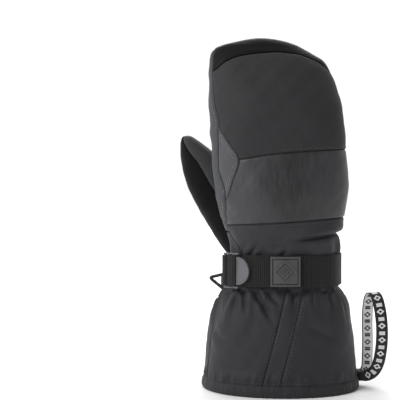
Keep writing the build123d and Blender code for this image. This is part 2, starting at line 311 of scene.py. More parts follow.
# black webbing, darkened further over the whole strap as painted shade for the shadow near the buckle
webbingFinish("webbing", (0.0078, 0.0078, 0.0082), 0.00185)
webbingFinish("turnWebbing", (0.013, 0.013, 0.0138), 0.0016)
mouldedFinish("badgeRubber", (0.06, 0.06, 0.063), 0.6, 1500.0)
mouldedFinish("bucklePlastic", (0.105, 0.105, 0.115), 0.34, 900.0, coat=0.15)
mouldedFinish("ringPlastic", (0.012, 0.012, 0.013), 0.38, 900.0)
mouldedFinish("membrane", (0.55, 0.57, 0.6), 0.35)
mouldedFinish("thread", (0.045, 0.045, 0.048), 0.55, 3000.0)
mouldedFinish("greyThread", (0.2, 0.2, 0.21), 0.6, 3000.0)
ribbonFinish("ribbonDark", (0.012, 0.012, 0.013), (0.72, 0.72, 0.72))
ribbonFinish("ribbonPale", (0.74, 0.74, 0.75), (0.02, 0.02, 0.021), phase=0.004, border=0.86)
print("materials made")


def addMesh(name, points, faces, finish, uv=None):
    mesh = bpy.data.meshes.new(name)
    mesh.from_pydata([tuple(p) for p in points], [], faces)
    mesh.update()
    if uv is not None:
        layer = mesh.uv_layers.new(name="cloth")
        for loop in mesh.loops:
            layer.data[loop.index].uv = uv[loop.vertex_index]
    return addPiece(name, mesh, finish)


def addPiece(name, mesh, finish):
    piece = bpy.data.objects.new(name, mesh)
    scene.collection.objects.link(piece)
    paint(piece, finish)
    mesh.polygons.foreach_set("use_smooth", [True] * len(mesh.polygons))
    return piece


def paint(piece, finish):
    piece.data.materials.clear()
    piece.data.materials.append(finishes[finish])


def choose(piece):
    bpy.ops.object.select_all(action="DESELECT")
    piece.select_set(True)
    bpy.context.view_layer.objects.active = piece


def applyModifier(piece, kind, **settings):
    choose(piece)
    modifier = piece.modifiers.new(kind.title(), kind)
    for key, value in settings.items():
        setattr(modifier, key, value)
    bpy.ops.object.modifier_apply(modifier=modifier.name)


def bevel(piece, width, segments=2, **more):
    applyModifier(piece, "BEVEL", width=width * mm, segments=segments, limit_method="ANGLE", **more)


def smoothByAngle(piece, degrees=40):
    choose(piece)
    bpy.ops.object.shade_smooth_by_angle(angle=math.radians(degrees))


def fixNormals(piece, merge=0.0):
    choose(piece)
    bpy.ops.object.mode_set(mode="EDIT")
    bpy.ops.mesh.select_all(action="SELECT")
    if merge:
        bpy.ops.mesh.remove_doubles(threshold=merge)
    bpy.ops.mesh.normals_make_consistent(inside=False)
    bpy.ops.object.mode_set(mode="OBJECT")


# most CAD nodes and slots are named as the piece and its finish are, with underscores
def underscored(name):
    return "".join("_" + letter.lower() if letter.isupper() else letter for letter in name)


# the piece rides on its body and stands for its CAD node
def settle(piece, body, node, slotName):
    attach(piece, body)
    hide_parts(node)


# smooth line with the route as its control points, in mm; a closed tube where it has a wire
def splineMesh(route, resolution=24, wire=None):
    curve = bpy.data.curves.new("route", "CURVE")
    curve.dimensions = "3D"
    curve.resolution_u = resolution
    spline = curve.splines.new("NURBS")
    spline.points.add(len(route) - 1)
    for point, (x, y, z) in zip(spline.points, route):
        point.co = (x * mm, y * mm, z * mm, 1.0)
    spline.order_u = 3
    if wire:
        curve.bevel_depth = wire / 2 * mm
        curve.bevel_resolution = 5
        spline.use_cyclic_u = True
    else:
        spline.use_endpoint_u = True
    holder = bpy.data.objects.new("route", curve)
    scene.collection.objects.link(holder)
    bpy.context.view_layer.update()
    mesh = bpy.data.meshes.new_from_object(holder)
    bpy.data.objects.remove(holder)
    return mesh


def splinePoints(route):
    return np.array([v.co for v in splineMesh(route).vertices], float)


def planLine(route):
    return splinePoints([(x, y, 0.0) for x, y in route])[:, :2] / mm


def reached(line):
    steps = np.linalg.norm(np.diff(line, axis=0), axis=1)
    return np.concatenate([[0], np.cumsum(steps)])


def evenly(line, count):
    reach = reached(line)
    places = np.linspace(0, reach[-1], count)
    return np.stack([np.interp(places, reach, line[:, i]) for i in range(3)], 1), places


def unit(v):
    return v / np.maximum(np.linalg.norm(v, axis=-1, keepdims=True), 1e-12)


# faces that join rings of points one after another: a capped tube, or one closed on itself
def tubeFaces(rings, around, first=0, closed=False):
    faces = []
    for index in range(rings if closed else rings - 1):
        low, high = first + index * around, first + (index + 1) % rings * around
        faces += [(low + k, low + (k + 1) % around, high + (k + 1) % around, high + k) for k in range(around)]
    if not closed:
        last = first + (rings - 1) * around
        faces += [tuple(range(first, first + around)), tuple(range(last, last + around))]
    return faces


leash = {"width": 0.0105, "thickness": 0.0009, "length": 0.170, "steps": 150, "turnFrom": 0.38, "turnOver": 0.22,
         "lean": 0.25, "across": (-1.0, -0.94, -0.5, 0.0, 0.5, 0.94, 1.0), "edge": 0.3}
leashRoute = [(74.5, -3.6, 10.0), (79.5, -3.6, 10.0), (85.5, -8.5, 18.0), (88.3, -12.0, 35.0),
              (88.9, -12.5, 54.0), (87.3, -10.0, 72.0), (84.8, -3.5, 84.0), (81.8, 4.5, 84.0),
              (80.2, 9.5, 71.5), (80.0, 10.0, 54.5), (80.2, 9.0, 38.0), (79.4, 6.5, 24.0),
              (78.4, 3.8, 12.5), (74.5, 3.6, 10.0)]


# ribbon whose dark face turns up and over at the top of the loop
def makeLeash():
    line, places = evenly(splinePoints(leashRoute), leash["steps"])
    tangent = unit(np.gradient(line, axis=0))
    over = math.pi * np.clip((places / places[-1] - leash["turnFrom"]) / leash["turnOver"], 0, 1)
    outward = np.stack([-leash["lean"] * np.sin(over / 2), -np.cos(over), np.sin(over)], 1)
    outward = unit(outward - tangent * (outward * tangent).sum(1, keepdims=True))
    sideways = np.cross(tangent, outward)
    width, thick, across = leash["width"], leash["thickness"], leash["across"]
    lifts = [1.0 if abs(a) < 0.99 else leash["edge"] for a in across]
    profile = list(zip(across, lifts)) + [(a, -lift) for a, lift in zip(reversed(across), reversed(lifts))]
    points, uv = [], []
    for centre, out, flat, reach in zip(line, outward, sideways, places):
        for a, lift in profile:
            points.append(centre + flat * a * width / 2 + out * lift * thick / 2)
            uv.append((reach, a * width / 2))
    ring = len(profile)
    piece = addMesh("leashRibbon", points, tubeFaces(len(line), ring), "ribbonDark", uv)
    piece.data.materials.append(finishes["ribbonPale"])
    for polygon in piece.data.polygons[:(len(line) - 1) * ring]:
        if len(across) <= polygon.index % ring < ring - 1:
            polygon.material_index = 1
    fixNormals(piece)
    settle(piece, "root", "leash_ribbon", "leash_ribbon")


makeLeash()
print("leash made")

# forms of the hand and the thumb: height, outer edge, inner edge, mid depth, half depth, fullness
handForm = [
    (0.0, -71.0, 69.8, 0.0, 47.0, 2.1), (24.0, -68.7, 67.3, 0.0, 44.5, 2.1),
    (56.0, -65.2, 64.3, 0.0, 40.5, 2.1), (74.0, -60.0, 60.8, 0.0, 37.5, 2.15),
    (83.0, -54.5, 56.7, 0.0, 34.5, 2.2), (88.0, -50.0, 52.7, 0.0, 31.8, 2.2),
    (104.0, -47.5, 50.7, 0.0, 30.3, 2.2), (118.0, -45.6, 52.3, 0.0, 31.2, 2.3),
    (127.0, -46.5, 53.5, 0.0, 32.5, 2.3), (137.5, -49.5, 50.6, 0.0, 33.3, 2.35),
    (143.0, -51.2, 54.0, 0.0, 34.0, 2.4), (166.0, -56.5, 57.9, 0.0, 34.2, 2.5),
    (192.0, -60.3, 59.6, 0.0, 33.3, 2.5), (220.0, -62.4, 57.5, 0.0, 31.3, 2.5),
    (254.0, -64.2, 52.1, 0.0, 27.0, 2.5), (280.0, -65.0, 45.1, 0.0, 20.5, 2.5),
    (292.0, -64.8, 38.0, 0.0, 16.2, 2.4), (298.0, -63.6, 29.6, 0.0, 13.2, 2.35),
    (302.5, -60.6, 21.5, 0.0, 10.6, 2.3), (306.0, -53.6, 15.0, 0.0, 8.4, 2.3),
    (309.0, -42.5, 7.0, 0.0, 6.2, 2.2), (311.4, -31.5, -3.0, 0.0, 3.8, 2.1),
    (312.6, -23.5, -11.5, 0.0, 1.8, 2.0), (313.0, -18.5, -16.5, 0.0, 0.4, 2.0)]
thumbForm = [
    (119.0, -48.5, -14.0, 12.0, 9.0, 2.2), (128.0, -55.0, -12.0, 16.0, 16.0, 2.3),
    (145.0, -65.7, -16.0, 20.0, 20.0, 2.4), (165.0, -77.2, -24.0, 23.0, 20.0, 2.4),
    (184.0, -86.0, -36.0, 24.0, 18.5, 2.4), (202.0, -89.6, -48.5, 24.0, 16.0, 2.4),
    (211.0, -90.8, -59.5, 23.5, 13.5, 2.35), (219.0, -90.9, -70.0, 23.0, 10.5, 2.3),
    (224.5, -90.0, -77.5, 22.5, 6.5, 2.2), (226.8, -88.4, -81.0, 22.0, 3.2, 2.1),
    (227.6, -86.0, -83.6, 22.0, 0.6, 2.0)]
crowns = {"hand": 254.0, "thumb": 202.0}


# smooth function through given rows of a place and its values
def through(rows):
    table = np.array(rows, float)
    places, values = table[:, 0], table[:, 1:]
    steep = np.diff(values, axis=0) / np.diff(places)[:, None]
    before, after = steep[:-1], steep[1:]
    total = np.where(before + after == 0, 1, before + after)
    slopes = np.vstack([steep[:1], np.where(before * after > 0, 2 * before * after / total, 0), steep[-1:]])

    def value(at):
        at = np.clip(np.asarray(at, float), places[0], places[-1])
        index = np.clip(np.searchsorted(places, at, "right") - 1, 0, len(places) - 2)
        span = (places[index + 1] - places[index])[..., None]
        t = (at - places[index])[..., None] / span
        return ((2 * t ** 3 - 3 * t ** 2 + 1) * values[index] + (t ** 3 - 2 * t ** 2 + t) * (slopes[index] * span)
                + (3 * t ** 2 - 2 * t ** 3) * values[index + 1] + (t ** 3 - t ** 2) * (slopes[index + 1] * span))
    return value


def curveThrough(pairs):
    value = through(pairs)
    return lambda at: value(at)[..., 0]


# superellipse sections through the stations; angle 0 faces the back, -90 the thumb side
class Form:
    def __init__(self, stations, crown):
        self.table = through(stations)
        self.top = stations[-1][0]
        self.crown = crown

    def at(self, z):
        value = self.table(z)
        return [value[..., k] for k in range(value.shape[-1])]

    # point on the form, in mm; past the crown the inset shrinks the whole tip
    def point(self, angle, z, inset=0.0):
        z = np.asarray(z, float)
        left, right, middle, depth, full = self.at(z)
        centre, half = (left + right) / 2, (right - left) / 2
        crownLeft, crownRight, _, crownDepth, _ = self.at(np.array(self.crown))
        crownHalf = (crownRight - crownLeft) / 2
        above = z > self.crown
        half = np.where(above, half * (crownHalf - inset) / crownHalf, half - inset)
        depth = np.where(above, depth * (crownDepth - inset) / crownDepth, depth - inset)
        shrunk = self.crown + (z - self.crown) * (self.top - self.crown - inset) / (self.top - self.crown)
        height = np.where(above, shrunk, z)
        s, c = np.sin(np.radians(angle)), np.cos(np.radians(angle))
        x = centre + half * np.sign(s) * np.abs(s) ** (2 / full)
        y = middle - depth * np.sign(c) * np.abs(c) ** (2 / full)
        return np.stack([x, y, height + 0 * x], -1)

    # angle on the back, from -90 to 90, at which the form has this x
    def angleFor(self, x, z):
        left, right, _, _, full = self.at(z)
        share = np.clip((x - (left + right) / 2) / ((right - left) / 2), -1, 1)
        return np.degrees(np.arcsin(np.sign(share) * np.abs(share) ** (full / 2)))


hand = Form(handForm, crowns["hand"])
thumb = Form(thumbForm, crowns["thumb"])


# seams: heights of the cross seams by x, edges of the side panels by height
gussetX = curveThrough([
    (88, -52.0), (98, -49.0), (108, -43.5), (117, -36.5), (128, -40.5), (135, -45.6), (142, -48.6), (158, -51.0),
    (173, -50.4), (185, -53.6), (196, -56.4), (217, -57.4), (236, -56.8), (250, -58.9), (268, -61.7), (286, -62.4),
    (296, -61.7), (302, -59.8), (304, -59.0)])
diamondX = curveThrough([(158, -64.0), (169, -49.8), (185, -44.6), (202, -39.4), (202.5, -39.4), (216, -47.4),
                         (230, -56.4), (243, -66.0)])
capHeight = curveThrough([(-66, 280.0), (-59, 283.8), (-50, 290.6), (-37, 295.4), (-20, 298.0), (-4, 299.0),
                          (9, 297.8), (25, 293.2), (37, 286.6), (48, 278.0)])
palmCapHeight = curveThrough([
    (-62, 214), (-60.8, 228), (-59, 249), (-56.3, 270), (-49.5, 285), (-33, 295.2), (-10, 299.4), (8, 296.6),
    (20, 290.2), (29, 280), (36, 268), (47, 247), (54.5, 228), (57.5, 214)])
knuckleHigh = curveThrough([(-62, 202.0), (-38, 203.2), (-17, 206.4), (0, 208.4), (30, 210.6), (60, 212.6)])
knuckleLow = curveThrough([(-62, 144.5), (-47, 145.6), (0, 148.2), (60, 152.8)])
stripLine = curveThrough([(0, -23.0), (40, -11.5), (82, -0.4), (100, 4.0)])
stripWidth = 15.0


# height of a cross seam as a function of the angle, from the same seam by x
def onBack(line, start):
    def height(angle):
        low = np.full(np.shape(angle), start - 90.0)
        high = np.full(np.shape(angle), min(start + 90.0, hand.top))
        for _ in range(26):
            z = (low + high) / 2
            under = z < line(hand.point(angle, z)[..., 0])
            low = np.where(under, z, low)
            high = np.where(under, high, z)
        return z
    return height


capSeam = onBack(capHeight, 260.0)
palmCapSeam = onBack(palmCapHeight, 260.0)
knuckleHighSeam = onBack(knuckleHigh, 206.0)
knuckleLowSeam = onBack(knuckleLow, 145.0)


# an edge that stays at one angle, or a seam at one height
def fixed(value):
    return lambda at: np.full(np.shape(at), float(value))


def gussetBack(z):
    return hand.angleFor(gussetX(z), z)


def gussetPalm(z):
    return -180.0 - gussetBack(z)


def palmEdge(z):
    return 360 + gussetPalm(z)


# left edge of the back panels: the gusset, or the diamond where it stands proud of it
def backLeft(z):
    return np.maximum(hand.angleFor(diamondX(z), z), gussetBack(z))


def stripLeft(z):
    return hand.angleFor(stripLine(z), z)


def stripRight(z):
    return hand.angleFor(stripLine(z) + stripWidth, z)


def bell(value, middle, width):
    return np.exp(-((value - middle) / width) ** 2)


def rise(value, low, high):
    t = np.clip((value - low) / (high - low), 0, 1)
    return t * t * (3 - 2 * t)


def between(value, low, full, still, high):
    return rise(value, low, full) * (1 - rise(value, still, high))


# soft uneven undulation, a few centimetres long, in mm
def rumple(x, y, z, seed):
    waves = [(0.071, 0.043, 0.058, 0.3), (-0.11, 0.09, 0.07, 1.7), (0.16, -0.13, 0.12, 2.9),
             (0.05, 0.21, -0.17, 4.1), (-0.26, 0.11, 0.23, 5.3)]
    total = 0
    for index, (a, b, c, phase) in enumerate(waves):
        total = total + np.sin(a * x + b * y + c * z + phase + seed * (1.3 + index)) / (1.4 + 0.5 * index)
    return total / 2.2


# creases: from x and z, to x and z, width, depth
folds = [
    (-34, 88, -33, 66, 1.6, 2.6), (-25, 88, -8, 60, 1.7, 3.0), (-14, 88, -3, 76, 1.4, 1.6),
    (24, 88, 25, 72, 1.4, 1.6), (40, 88, 45, 70, 1.8, 2.4), (8, 88, 6, 74, 1.4, 1.6), (-46, 86, -52, 72, 1.5, 2.0),
    (-60, 52, -40, 36, 2.6, 1.0), (20, 60, 52, 44, 3.0, 1.0), (-30, 118, -22, 131, 1.5, 1.6),
    (-4, 118, 4, 127, 1.5, 1.3), (-52, 150, -40, 158, 1.6, 0.9)]


# a crease that fades along its length, with a soft ridge each side
def foldRelief(x, z, x0, z0, x1, z1, width, depth):
    runX, runZ = x1 - x0, z1 - z0
    length = math.hypot(runX, runZ)
    along = ((x - x0) * runX + (z - z0) * runZ) / length ** 2
    off = ((x - x0) * runZ - (z - z0) * runX) / length
    ridge, spread = 2.6 * width, 1.7 * width
    shape = -bell(off, 0, width) + 0.75 * bell(off, ridge, spread) + 0.55 * bell(off, -ridge, spread)
    return depth * rise(along, -0.12, 0.1) * (1 - rise(along, 0.25, 1.1)) * shape


# gathers and folds under the strap, on the cuff
def cuffFolds(turn, z, back):
    gathers = np.sin(13 * turn + 0.6 + 0.02 * z) + 0.7 * np.sin(21 * turn + 1.9) + 0.45 * np.sin(34 * turn + 0.4)
    under = rise(z, 44, 84) ** 1.6 * (1 - rise(z, 87, 91))
    fan = np.sin(7 * turn + 0.9 + (84 - z) * 0.018)
    return gathers * under * (0.45 + 0.55 * back) + 0.9 * fan * between(z, 16, 66, 70, 88) * back


# the two creases across the back of the wrist
def wristFolds(turn, x, z, back):
    over = 0.9 * between(z, 116, 121, 124, 140) * (np.sin(9 * turn + 2.0) + 0.5 * np.sin(17 * turn))
    crease = 133.4 + (x - 14) * 0.15
    ridge = 2.9 * bell(z, crease + 4.8, 3.4) * (1 - 0.75 * rise(x, 42, 56))
    deep = rise(x, 4, 20) * (ridge - 2.6 * bell(z, crease, 1.6) + 1.0 * bell(z, crease - 5, 3.5))
    shallow = -0.8 * bell(z, 127.5 + (x + 8) * 0.05, 2.2) * bell(x, 2, 14)
    return (over + deep + shallow) * back


# shirring of the elastic at the inside of the wrist
def shirring(turn, z, palm):
    slanted = np.sin(27 * turn + 0.33 * z + 1.1 * np.sin(9 * turn)) * np.abs(np.sin((z - 80) * math.pi / 12.7))
    return palm * between(z, 78, 84, 116, 121) * (1.7 * slanted + 0.5 * np.sin(61 * turn - 0.4 * z) - 0.3)


# puckers above the hem seam
def hemPuckers(turn, x, z):
    puckers = 0.5 * np.sin(74 * turn + 2.5 * np.sin(5 * turn)) + 0.8 * np.sin(41 * turn + 3 * np.sin(3 * turn))
    swell = 1.1 * bell(z, 16.0, 4.5) * np.clip(1 - (x / 66) ** 4, 0, 1)
    return (0.5 * puckers + 0.5 * np.sin(23 * turn + 2.2)) * bell(z, 14.0, 4.2) + swell


# folds of the shell that the strap, the elastic and the filling make, in mm outwards
def handRelief(angle, p):
    x, y, z = p[..., 0], p[..., 1], p[..., 2]
    turn = np.radians(angle)
    back = rise(-y, -6, 10)
    relief = cuffFolds(turn, z, back) + wristFolds(turn, x, z, back)
    for fold in folds:
        relief += back * foldRelief(x, z, *fold)
    uneven = 0.75 * rumple(x, y, z, 0.4) + 0.3 * rumple(2.7 * x, 2.3 * y, 2.5 * z, 1.9)
    relief += uneven * (1 - rise(z, 286, 300)) + (0.9 * bell(z, 174, 17) + bell(z, 248, 26)) * back
    edge = bell(x, hand.at(z)[0] + 3, 7) * rise(z, 145, 160)
    relief += edge * 0.4 * np.sin(z * 0.23 + 0.8 * np.sin(z * 0.11))
    return relief + shirring(turn, z, 1 - back) + hemPuckers(turn, x, z)


def thumbRelief(angle, p):
    x, y, z = p[..., 0] * 1.5, p[..., 1] * 1.5, p[..., 2]
    return 0.6 * rumple(x, y, z * 1.5, 2.2) * (1 - rise(z, 205, 220))


# how far a panel turns down towards its seam, at this distance from it
def edgeRoll(distance, radius):
    near = np.clip(1 - distance / radius, 0, 1)
    return 1 - np.sqrt(1 - near ** 2 * 0.999)


panelStyle = {"thickness": 1.0, "spacing": 1.25, "tuck": 0.7, "swellReach": 9.0, "fewest": 8, "most": (260, 200)}
skins = []


# shell cloth between two side seams and two cross seams, puffed, and rolled in at the seams named by their side
def makePanel(name, form, relief, left, right, low, high, finish, puff=0.0, ease=False, seams="lrbt",
              seamDepth=1.0, seamRadius=2.4, counts=None, fade=None):
    def surface(s, t):
        run = np.sin(t * math.pi / 2) if ease else t
        angle = left(low(s * 0) + 0 * s) * (1 - s) + right(low(s * 0) + 0 * s) * s
        for _ in range(5):
            z = low(angle) * (1 - run) + high(angle) * run
            angle = left(z) * (1 - s) + right(z) * s
        return angle, z

    if counts is None:
        rough = form.point(*surface(*np.meshgrid(np.linspace(0, 1, 9), np.linspace(0, 1, 9))))
        sizes = [np.linalg.norm(np.diff(rough, axis=1), axis=2).sum(1).max(),
                 np.linalg.norm(np.diff(rough, axis=0), axis=2).sum(0).max()]
        counts = [int(np.clip(size / panelStyle["spacing"], panelStyle["fewest"], most))
                  for size, most in zip(sizes, panelStyle["most"])]
    columns, rows = counts
    angle, z = surface(*np.meshgrid(np.linspace(0, 1, columns + 1), np.linspace(0, 1, rows + 1)))
    p = form.point(angle, z, panelStyle["tuck"])
    normals = unit(np.cross(np.gradient(p, axis=1), np.gradient(p, axis=0)))
    stepsAcross = np.cumsum(np.linalg.norm(np.diff(p, axis=1), axis=2), 1)
    stepsUp = np.cumsum(np.linalg.norm(np.diff(p, axis=0), axis=2), 0)
    across = np.concatenate([np.zeros((rows + 1, 1)), stepsAcross], 1)
    upward = np.concatenate([np.zeros((1, columns + 1)), stepsUp], 0)
    distances = {"l": across, "r": across[:, -1:] - across, "b": upward, "t": upward[-1:] - upward}
    offset = relief(angle, p)
    swell = 1.0
    for seam in seams:
        kept = 1 - rise(z, *fade) if fade and seam in "lr" else 1.0
        offset = offset - kept * seamDepth * edgeRoll(distances[seam], seamRadius)
        swell = swell * (1 - kept * np.exp(-distances[seam] / panelStyle["swellReach"]))
    p = (p + normals * (offset + puff * swell)[..., None]) * mm
    middle = across[:, columns // 2][:, None]
    uv = np.stack([(across - middle) * mm, upward * mm + z[0, columns // 2] * mm], -1)
    wide = columns + 1
    faces = [(r * wide + c, r * wide + c + 1, (r + 1) * wide + c + 1, (r + 1) * wide + c)
             for r in range(rows) for c in range(columns)]
    piece = addMesh(name, p.reshape(-1, 3), faces, finish, [tuple(q) for q in uv.reshape(-1, 2)])
    applyModifier(piece, "SOLIDIFY", thickness=panelStyle["thickness"] * mm, offset=-1.0)
    return piece


def handPanel(name, left, right, low, high, finish, node=None, slotName=None, **more):
    piece = makePanel(name, hand, handRelief, left, right, low, high, finish, **more)
    settle(piece, "root", node or underscored(name), slotName or underscored(finish))
    skins.append(piece)


backRight, tip = fixed(91), fixed(312.9)
capStyle = {"node": "fingertip_cap", "slotName": "cap_nylon", "ease": True, "seams": "lrb", "fade": (298, 303)}
handPanel("backFingersPanel", backLeft, backRight, knuckleHighSeam, capSeam, "backNylon", puff=2.2)
handPanel("backKnucklePanel", backLeft, backRight, knuckleLowSeam, knuckleHighSeam, "knuckleCoated", puff=1.0)
handPanel("backWristPanel", gussetBack, backRight, fixed(96), knuckleLowSeam, "wristNylon", puff=1.6, seams="lrt")
handPanel("diamondPatch", gussetBack, backLeft, fixed(168.2), fixed(231), "diamondTwill", puff=0.5, seamRadius=1.8)
handPanel("sideGusset", gussetPalm, gussetBack, fixed(139), fixed(303.3), "gussetTwill", puff=1.6, seamDepth=1.5,
          seamRadius=3.0, seams="lrb")
# the back of the cap takes the darkened nylon, painted shade in its colour
handPanel("fingertipCap", gussetBack, backRight, capSeam, tip, "capNylon", puff=0.4, **capStyle)
handPanel("fingertipCapPalm", backRight, palmEdge, palmCapSeam, tip, "capPalmNylon", puff=0.6, counts=[150, 90],
          **capStyle)
handPanel("palmFingersPanel", backRight, palmEdge, fixed(200), palmCapSeam, "palmCoated", puff=1.8,
          counts=[130, 90])
handPanel("palmGripPatch", backRight, palmEdge, fixed(139), fixed(200), "gripSuede", puff=1.5)
handPanel("palmHeelPanel", backRight, lambda z: 360 + gussetBack(z), fixed(118), fixed(139), "wristNylon",
          puff=0.8)
print("hand panels made")

cuff = {"low": 9, "high": 97, "palmHigh": 80, "elasticHigh": 118, "thumbSide": -74}
cuffBack = {"low": fixed(cuff["low"]), "high": fixed(cuff["high"]), "slotName": "cuff_nylon", "seams": "lrb",
            "seamDepth": 0.45}
handPanel("cuffBackLeft", fixed(cuff["thumbSide"]), stripLeft, finish="cuffNylon", puff=0.8, **cuffBack)
handPanel("cuffBackStrip", stripLeft, stripRight, finish="stripNylon", puff=0.5, **cuffBack)
handPanel("cuffBackRight", stripRight, fixed(90), finish="cuffNylon", puff=0.8, **cuffBack)
handPanel("cuffPalmPanel", fixed(90), fixed(360 + cuff["thumbSide"]), fixed(cuff["low"]), fixed(cuff["palmHigh"]),
          "cuffNylon", puff=0.8)
handPanel("wristElastic", fixed(90), lambda z: 360 + np.maximum(gussetBack(z), cuff["thumbSide"]),
          fixed(cuff["palmHigh"]), fixed(cuff["elasticHigh"]), "wristNylon", puff=0.2, counts=[230, 44])

# section of the binding as height and distance outwards, down its outside and up its inside
hem = {"around": 420, "puckered": range(1, 5), "section": (
    (10.5, -1.6), (9.7, -0.4), (7.5, 0.35), (4.5, 0.55), (2.0, 0.35), (0.7, -0.2), (0.0, -1.4), (0.0, -8.4),
    (0.8, -9.8), (3.0, -10.4), (7.5, -10.4), (9.5, -10.2), (10.5, -9.2))}


# binding tape folded round the bottom edge of all the layers
def makeHem():
    points, uv = [], []
    for angle in np.linspace(-180, 180, hem["around"], endpoint=False):
        turn = math.radians(angle)
        pucker = (0.14 * math.sin(turn * 74 + 2 * math.sin(turn * 5))
                  + 0.2 * math.sin(turn * 31 + 3 * math.sin(turn * 4)))
        for index, (height, out) in enumerate(hem["section"]):
            base, before, after = (hand.point(np.array(angle + shift), np.array(height))
                                   for shift in (0, -0.5, 0.5))
            normal = unit(np.array([after[1] - before[1], before[0] - after[0], 0.0]))
            points.append((base + normal * (out + (pucker if index in hem["puckered"] else 0.0))) * mm)
            uv.append((turn * 0.06, index * 0.0016))
    faces = tubeFaces(hem["around"], len(hem["section"]), closed=True)
    piece = addMesh("hemBinding", points, faces, "hemTape", uv)
    fixNormals(piece)
    skins.append(piece)
    settle(piece, "root", "hem_binding", "hem_tape")


makeHem()
print("cuff made")

sleeve = {"columns": 48, "rows": 60, "merge": 0.00002}


# closed shell between two insets of a form, open at its lower end
def makeSleeve(name, form, outer, inner, low, high, span, finish):
    whole = span[1] - span[0] == 360
    columns, rows = sleeve["columns"] * (2 if whole else 1), sleeve["rows"]
    share = np.linspace(0, 1, rows + 1)
    if high > form.crown:  # closer rows towards a tip
        share = np.sin(share * math.pi / 2)
    a, z = np.meshgrid(np.linspace(*span, columns + 1), low + (high - low) * share)
    points = np.vstack([form.point(a, z, inset).reshape(-1, 3) * mm for inset in (outer, inner)])
    wide, count = columns + 1, (columns + 1) * (rows + 1)
    faces = []
    for r in range(rows):
        for c in range(columns):
            quad = (r * wide + c, r * wide + c + 1, (r + 1) * wide + c + 1, (r + 1) * wide + c)
            faces += [quad, tuple(count + k for k in reversed(quad))]
    for c in range(columns):
        top = rows * wide + c
        faces += [(c, c + count, c + 1 + count, c + 1), (top, top + 1, top + 1 + count, top + count)]
    if not whole:
        for start in range(0, rows * wide, wide):
            end = start + columns
            faces += [(start, start + wide, start + wide + count, start + count),
                      (end, end + count, end + wide + count, end + wide)]
    piece = addMesh(name, points, faces, finish, [(p[0] + p[1], p[2]) for p in points])
    fixNormals(piece, sleeve["merge"])
    return piece


# hidden layers, one inside the other: outer and inner inset, heights, angles
whole, back, palm = (0, 360), (-90, 90), (90, 270)
for name, outer, inner, low, high, span, finish in (
        ("handPaddingBack", 5.0, 7.1, 100.0, 313.0, back, "padding"),
        ("handPaddingPalm", 5.0, 7.1, 100.0, 313.0, palm, "padding"),
        ("cuffPaddingBack", 5.4, 7.1, 10.0, 99.8, back, "padding"),
        ("cuffPaddingPalm", 5.4, 7.1, 10.0, 99.8, palm, "padding"),
        ("waterproofMembrane", 7.4, 7.8, 10.0, 313.0, whole, "membrane"),
        ("handLining", 8.1, 9.5, 100.0, 313.0, whole, "fleece"),
        ("cuffLining", 8.1, 9.5, 6.0, 99.8, whole, "liningNylon")):
    piece = makeSleeve(name, hand, outer, inner, low, high, span, finish)
    settle(piece, "root", underscored(name), underscored(finish))
print("inner layers made")

thumbSeam = curveThrough([(119, 2.0), (165, -3.0), (184, -6.0), (202, -14.0), (215, -30.0), (224, -50.0)])
thumbInner = curveThrough([(119, 150.0), (165, 158.0), (202, 170.0), (224, 178.0)])


def settleThumb(piece, name, finish):
    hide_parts(underscored(name))
    underscored(finish)
    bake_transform(piece)


for name, left, right, finish in (("thumbBackShell", thumbSeam, thumbInner, "thumbNylon"),
                                  ("thumbGripShell", thumbInner, lambda z: 360 + thumbSeam(z), "gripSuede")):
    piece = makePanel(name, thumb, thumbRelief, left, right, fixed(120), fixed(227.5), finish, puff=0.9,
                      seams="lr", seamDepth=0.8, seamRadius=2.0)
    settleThumb(piece, name, finish)
for name, outer, inner, low, finish in (("thumbPadding", 3.0, 5.6, 140.0, "padding"),
                                        ("thumbLining", 6.0, 7.3, 142.0, "fleece")):
    settleThumb(makeSleeve(name, thumb, outer, inner, low, thumb.top, whole, finish), name, finish)
print("thumb made")

strap = {"middle": 106.5, "width": 27.6, "thickness": 1.4, "centre": (2.0, 54.5), "loadRadius": 88.0,
         "loadSpan": (-22.0, 24.0), "lead": 14.0, "end": (53.6, 1.5), "tailRadius": 89.75,
         "tailSpan": (-23.5, 7.5), "tailWidth": 27.2, "tailMiddle": 106.7, "steps": 120}


def arcPoint(radius, degrees):
    turn = math.radians(degrees)
    return np.array([strap["centre"][0] + radius * math.sin(turn), strap["centre"][1] - radius * math.cos(turn)])


def arcLine(radius, span):
    return np.array([arcPoint(radius, d) for d in np.linspace(*span, 40)])


# flat webbing standing on edge along a line in plan; its inner face is on the line
def makeBand(name, line, middle, width, thickness, finish="turnWebbing"):
    line, places = evenly(np.column_stack([line, np.zeros(len(line))]), strap["steps"])
    tangent = unit(np.gradient(line, axis=0))
    out = np.stack([tangent[:, 1], -tangent[:, 0], 0 * tangent[:, 0]], 1)
    half = width / 2
    profile = [(-half, 0.25), (-half + 0.35, 0.0), (half - 0.35, 0.0), (half, 0.25), (half, 0.75),
               (half - 0.5, 1.0)]
    profile += [(half - 2 - k * (width - 4) / 9, 1.0) for k in range(10)] + [(-half + 0.5, 1.0), (-half, 0.75)]
    points, uv = [], []
    for centre, normal, reach in zip(line, out, places):
        for height, share in profile:
            points.append((centre + normal * (share * thickness) + np.array([0, 0, middle + height])) * mm)
            uv.append((reach * mm, height * mm))
    piece = addMesh(name, points, tubeFaces(len(line), len(profile)), finish, uv)
    fixNormals(piece)
    smoothByAngle(piece)
    return piece


